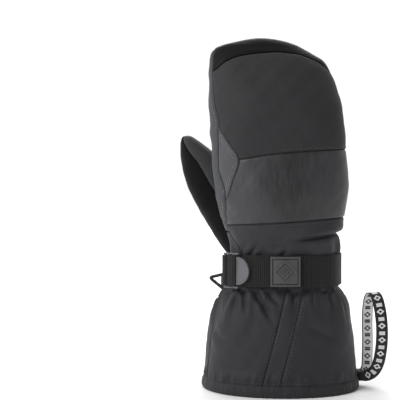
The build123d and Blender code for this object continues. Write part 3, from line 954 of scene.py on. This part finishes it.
def makeStrap():
    load = arcLine(strap["loadRadius"], strap["loadSpan"])
    bend, end = load[-1], np.array(strap["end"])
    corner = bend + unit(bend - load[-2]) * strap["lead"]
    curve = [(1 - t) ** 2 * bend + 2 * (1 - t) * t * corner + t ** 2 * end for t in np.linspace(0, 1, 30)[1:]]
    # the strap and its tail take the darkened webbing, with painted shade in its colour
    piece = makeBand("wristStrap", np.vstack([load, curve]), strap["middle"], strap["width"], strap["thickness"],
                     "webbing")
    settle(piece, "root", "wrist_strap", "webbing")
    tail = makeBand("strapTail", arcLine(strap["tailRadius"], strap["tailSpan"]), strap["tailMiddle"],
                    strap["tailWidth"], strap["thickness"], "webbing")
    settle(tail, "tail", "strap_tail", "webbing")


makeStrap()


def primitive(kind, scale=(1, 1, 1), **settings):
    bpy.ops.object.select_all(action="DESELECT")
    getattr(bpy.ops.mesh, "primitive_" + kind + "_add")(**settings)
    piece = bpy.context.object
    piece.scale = scale
    bpy.ops.object.transform_apply(location=True, rotation=True, scale=True)
    return piece


# block with rounded edges, from its middle and its size in mm
def block(middle, size, rounding, segments=3):
    part = primitive("cube", [k * mm for k in size], size=1.0, location=[k * mm for k in middle])
    bevel(part, rounding, segments)
    return part


# insets of the faces that look to -y, as rows of thickness and depth in mm
def insetFront(piece, steps):
    choose(piece)
    bpy.ops.object.mode_set(mode="EDIT")
    bpy.ops.mesh.select_mode(type="FACE")
    bpy.ops.mesh.select_all(action="DESELECT")
    bpy.ops.object.mode_set(mode="OBJECT")
    for polygon in piece.data.polygons:
        polygon.select = polygon.normal.y < -0.9
    bpy.ops.object.mode_set(mode="EDIT")
    for thickness, depth in steps:
        bpy.ops.mesh.inset(thickness=thickness * mm, depth=depth * mm)
    bpy.ops.object.mode_set(mode="OBJECT")


def cutAt(piece, x, **more):
    choose(piece)
    bpy.ops.object.mode_set(mode="EDIT")
    bpy.ops.mesh.select_all(action="SELECT")
    bpy.ops.mesh.bisect(plane_co=(x * mm, 0, 0), plane_no=(1, 0, 0), **more)
    bpy.ops.object.mode_set(mode="OBJECT")


def joinPieces(name, parts, finish):
    bpy.ops.object.select_all(action="DESELECT")
    for part in parts:
        part.select_set(True)
    bpy.context.view_layer.objects.active = parts[0]
    bpy.ops.object.join()
    parts[0].name = name
    paint(parts[0], finish)
    return parts[0]


# lozenges as reach, width and height; bars as places across
badge = {"width": 25.5, "height": 25.5, "thickness": 2.2, "border": 1.5, "groove": 1.2, "middle": -1.1, "cuts": 9,
         "lozenges": ((10.2, 1.5, 1.0), (6.3, 1.3, 0.9)), "bars": (-1.4, 1.4), "bar": (1.2, 1.0, 4.2)}


# moulded patch: raised rim, sunk field and a plain nested lozenge with two bars
def makeBadge():
    groove = badge["groove"]
    size = [badge[k] * mm for k in ("width", "thickness", "height")]
    plate = primitive("cube", size, size=1.0, location=(0, 0, 0))
    insetFront(plate, ((badge["border"], 0), (0.15, -groove), (0.75, 0), (0.15, 0.75 * groove)))
    bevel(plate, 0.2)
    parts = [plate]
    face = -badge["thickness"] / 2 + 0.25 * groove
    for reach, width, proud in badge["lozenges"]:
        lozenge = primitive("cylinder", vertices=4, radius=reach * mm, depth=proud * mm,
                            location=(0, (face - proud / 2 + 0.1) * mm, 0), rotation=(math.pi / 2, 0, 0))
        insetFront(lozenge, ((width, 0), (0.1, -proud * 0.95)))
        bevel(lozenge, 0.15)
        parts.append(lozenge)
    parts += [block((x, face - 0.3, 0), badge["bar"], 0.2, 2) for x in badge["bars"]]
    piece = joinPieces("badge", parts, "badgeRubber")
    for step in range(badge["cuts"]):  # so that the patch bends with the tail
        cutAt(piece, (0.1 * step - 0.4) * badge["width"])
    radius = strap["tailRadius"] + strap["thickness"] + badge["thickness"] / 2
    for vertex in piece.data.vertices:
        turn = badge["middle"] + math.degrees(vertex.co.x / mm / radius)
        x, y = arcPoint(radius - vertex.co.y / mm, turn)
        vertex.co = (x * mm, y * mm, vertex.co.z + strap["tailMiddle"] * mm)
    smoothByAngle(piece, 35)
    settle(piece, "tail", "badge", "badge_rubber")


makeBadge()

buckle = {"hinge": (-50.5, -20.5), "yaw": 32.0, "thickness": 2.6, "height": 30.8, "bar": 1.5, "rail": 1.5,
          "middleBar": 8.5, "middleRadius": 1.275, "frame": 13.2, "reach": 23.6, "tabHalf": 12.2, "clearance": 0.3}


def placeBuckle(piece):
    x, y = buckle["hinge"]
    turn = Matrix.Rotation(-math.radians(buckle["yaw"]), 4, "Z")
    piece.data.transform(Matrix.Translation((x * mm, y * mm, strap["middle"] * mm)) @ turn)
    piece.data.update()


# ladder buckle: two rails, two bars, and a half-moon tab to lift it by
def makeBuckle():
    bar, rail, frame, thick = (buckle[k] for k in ("bar", "rail", "frame", "thickness"))
    shift, inside = (buckle["height"] - rail) / 2, frame - rail
    parts = [block(((frame - bar) / 2, 0, z), (frame + bar, thick, rail), 0.5) for z in (-shift, shift)]
    for at, radius in ((0.0, bar), (buckle["middleBar"], buckle["middleRadius"])):
        parts.append(primitive("cylinder", vertices=24, radius=radius * mm, depth=(buckle["height"] - 1) * mm,
                               location=(at * mm, 0, 0)))
    tab = primitive("cylinder", ((buckle["reach"] - inside) * mm, buckle["tabHalf"] * mm, 1.0), vertices=64,
                    radius=1.0, depth=thick * mm, location=(inside * mm, 0, 0), rotation=(math.pi / 2, 0, 0))
    cutAt(tab, inside, clear_inner=True, use_fill=True)
    insetFront(tab, ((1.1, 0), (0.5, -0.45)))
    bevel(tab, 0.45, 3, angle_limit=math.radians(40))
    piece = joinPieces("ladderBuckle", parts + [tab], "bucklePlastic")
    placeBuckle(piece)
    centre = Vector(strap["centre"]) * mm
    clear = (strap["tailRadius"] + strap["thickness"] + buckle["clearance"]) * mm
    for vertex in piece.data.vertices:  # keeps clear of the tail
        flat = vertex.co.xy - centre
        if flat.length < clear:
            vertex.co.xy = flat.normalized() * clear + centre
    smoothByAngle(piece)
    settle(piece, "buckle", "buckle", "buckle_plastic")


makeBuckle()

# webbing at the buckle, in plan in the buckle's own frame: the turn over the middle bar and the anchor loop
for name, body, node, width, thickness, route in (
        ("strapTurn", "buckle", "strap_turn", 26.8, 1.2, [
            (1.7, 2.2), (2.2, 0.4), (3.6, -1.3), (6.0, -1.85), (8.5, -1.75), (9.9, -1.2), (10.9, 0.6),
            (13.0, 1.9)]),
        ("strapAnchorLoop", "root", "strap_anchor_loop", 26.1, 0.6, [
            (-0.2, 15.5), (-1.2, 9.0), (-2.3, 4.0), (-2.6, 0.5), (-1.6, -2.1), (0.4, -2.5), (2.0, -1.4),
            (1.9, 0.8), (1.2, 4.0), (0.8, 9.0), (0.6, 15.5)])):
    piece = makeBand(name, planLine(route), 0.0, width, thickness)
    placeBuckle(piece)
    settle(piece, body, node, "webbing")

ring = {"bar": (-52.4, 0.0), "low": 88.0, "high": 100.8, "reach": 11.0, "wire": 3.0, "bend": 1.6, "lean": 3.0,
        "tabWidth": 6.4, "tabThickness": 0.5}
ringWrap = [(4.5, 0.9), (1.5, 0.95), (0.2, 1.35), (-1.2, 0.9), (-1.5, 0.0), (-1.2, -0.9), (0.2, -1.35),
            (1.5, -0.95), (4.5, -0.9)]


# triangular ring, and the webbing tab round its bar
def makeRing():
    x, y = ring["bar"]
    low, high, tip, bend = ring["low"], ring["high"], x - ring["reach"], ring["bend"]
    half = (low + high) / 2
    middle = half + ring["lean"]
    route = [(x, low + bend), (x, high - bend), (x, high), (x - bend, high - bend * 0.45),
             (tip + bend * 1.3, middle + bend * 0.7), (tip, middle + 0.2),
             (tip + bend * 0.9, middle - bend * 1.05), (x - bend * 0.9, low + bend * 0.75), (x, low)]
    mesh = splineMesh([(px, y, pz) for px, pz in route], 8, ring["wire"])
    piece = addPiece("pairingRing", mesh, "ringPlastic")
    fixNormals(piece, 0.00001)
    settle(piece, "ring", "pairing_ring", "ring_plastic")
    tab = makeBand("ringTab", planLine([(x + a, y - b) for a, b in ringWrap]), half, ring["tabWidth"],
                   ring["tabThickness"])
    settle(tab, "root", "ring_tab", "webbing")


makeRing()

leashTab = {"middle": (71.85, 0.0, 9.75), "size": (5.7, 13.0, 8.5), "rounding": 0.9, "edge": 0.2}


# folded end tab that holds both ends of the ribbon in the hem seam
def makeLeashTab():
    part = block(leashTab["middle"], leashTab["size"], leashTab["rounding"])
    bevel(part, leashTab["edge"], 1)
    part.name = "leashEndTab"
    layer = part.data.uv_layers.active
    for loop in part.data.loops:
        layer.data[loop.index].uv = part.data.vertices[loop.vertex_index].co.yz
    paint(part, "turnWebbing")
    smoothByAngle(part)
    settle(part, "root", "leash_end_tab", "leash_ribbon")


makeLeashTab()
print("strap, buckle, badge, ring and tab made")

# each stitch is a spindle of thread: places along it, girths and lifts
stitch = {"pitch": 3.1, "length": 2.2, "radius": 0.26, "sides": 6, "spindle": (
    (-0.5, 0.35, -0.2), (-0.28, 0.95, 0.1), (0.0, 1.0, 0.16), (0.28, 0.95, 0.1), (0.5, 0.35, -0.2))}
stitch["corners"] = [k * 2 * math.pi / stitch["sides"] for k in range(stitch["sides"])]


# one search tree over the shell of the hand, so that thread lies on the cloth
def skinTree():
    points, faces = [], []
    for piece in skins:
        start = len(points)
        points += [v.co.copy() for v in piece.data.vertices]
        faces += [tuple(start + i for i in p.vertices) for p in piece.data.polygons]
    return BVHTree.FromPolygons(points, faces)


# a row of (angle, height) on the hand, dropped onto the shell, with its outward directions
def landRow(tree, angles, heights):
    shift = hand.point(angles + 0.4, heights) - hand.point(angles - 0.4, heights)
    upShift = hand.point(angles, heights + 0.5) - hand.point(angles, heights - 0.5)
    normals = unit(np.cross(shift, upShift))
    landed = []
    for place, normal in zip(hand.point(angles, heights) * mm, normals):
        hit = tree.ray_cast(Vector(place) + Vector(normal) * 0.012, -Vector(normal), 0.03)[0]
        landed.append(np.array(hit) + normal * 0.00008 if hit is not None else place)
    return np.array(landed), normals


def layStitches(name, tree, rows, finish):
    points, faces = [], []
    pitch, sides, radius = stitch["pitch"] * mm, stitch["sides"], stitch["radius"]
    for angles, heights in rows:
        line, normals = landRow(tree, angles, heights)
        reach = reached(line)
        for index in range(int(reach[-1] / pitch)):
            middle = (index + 0.5) * pitch
            ends = [middle + k * stitch["length"] * mm for k, _, _ in stitch["spindle"]]
            centres = [np.array([np.interp(e, reach, line[:, i]) for i in range(3)]) for e in ends]
            out = unit(np.array([np.interp(middle, reach, normals[:, i]) for i in range(3)]))
            flat = np.cross(unit(centres[-1] - centres[0]), out)
            faces += tubeFaces(len(ends), sides, len(points))
            for centre, (_, girth, lift) in zip(centres, stitch["spindle"]):
                r = radius * girth * mm
                points += [centre + out * (lift * mm + r * math.sin(turn)) + flat * r * math.cos(turn)
                           for turn in stitch["corners"]]
    piece = addMesh(name, points, faces, finish)
    fixNormals(piece)
    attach(piece, "root")


def crossRow(seam, start, end, shift):
    angles = np.linspace(start, end, 260)
    return angles, seam(angles) + shift


def upRow(line, low, high, shift):
    heights = np.linspace(low, high, 200)
    return hand.angleFor(line(heights) + shift, heights), heights


def makeStitching():
    tree = skinTree()
    layStitches("stripStitching", tree, [upRow(stripLine, 11, 84, shift) for shift in
                                         (-2.2, 2.0, 13.0, 17.2, -4.0, 19.0)], "thread")
    rows = [(capSeam, -62, 78, -2.6), (knuckleHighSeam, -42, 84, 2.4), (knuckleLowSeam, -58, 84, -2.4),
            (fixed(12.2), -72, 86, 0.0), (fixed(12.2), 94, 284, 0.0)]
    layStitches("seamStitching", tree, [crossRow(*row) for row in rows], "thread")
    rows = [(diamondX, 172, 201, -2.2), (diamondX, 203, 226, -2.2), (diamondX, 174, 201, -4.4),
            (diamondX, 203, 222, -4.4), (gussetX, 146, 168, -2.0), (gussetX, 230, 276, -2.0)]
    layStitches("gussetStitching", tree, [upRow(*row) for row in rows], "greyThread")
    rows = [(fixed(200), 100, 225, 2.4), (fixed(200), 100, 225, -2.4), (fixed(139), 100, 225, 2.4)]
    layStitches("palmStitching", tree, [crossRow(*row) for row in rows], "thread")


makeStitching()
print("stitching made")

# lamps as place, aim, size and power; the world is bright behind the mitten and dark in front of it
studio = {"floor": 6.0, "front": 0.15, "behind": 1.05, "lamps": {
    "key": ((-1.25, -0.95, 1.35), (0, 0, 0.16), 1.0, 28.0),
    "sweep": ((0.0, 2.1, 1.7), (0, 2.4, 0), 2.6, 70.0),
    "fill": ((1.3, -1.2, 0.7), (0, 0, 0.16), 1.4, 0.4),
    "rim": ((0.3, 1.0, 1.4), (0, 0, 0.16), 1.0, 2.0)}}


def makeStudio():
    floor = primitive("plane", size=studio["floor"], location=(0, 0, 0))
    floor.name = "floor"
    made = Finish("floorPaper")
    grain = made.noise(made.place(), 30.0, 2.0)
    made.set(Base_Color=made.mix(grain, (0.93, 0.93, 0.935), (0.95, 0.95, 0.955)), Roughness=0.9)
    paint(floor, "floorPaper")
    for name, (place, aim, size, power) in studio["lamps"].items():
        bpy.ops.object.light_add(type="AREA", location=place, rotation=facing(place, aim))
        lamp = bpy.context.object
        lamp.name = name + "Light"
        lamp.data.size = size
        lamp.data.energy = power
    world = bpy.data.worlds.new("studioWorld")
    scene.world = world
    world.use_nodes = True
    tree = world.node_tree
    inputs = tree.nodes["Background"].inputs
    inputs["Color"].default_value = (1, 1, 1, 1)
    toward = Sock(tree, tree.nodes.new("ShaderNodeTexCoord").outputs["Generated"])
    behind = ((toward.axis(1) + 0.35) * 1.4).call("MAXIMUM", 0.0).call("MINIMUM", 1.0)
    bright = behind * (studio["behind"] - studio["front"]) + studio["front"]
    tree.links.new(bright.socket, inputs["Strength"])
    scene.view_settings.view_transform = "Standard"


makeStudio()
print("studio made")
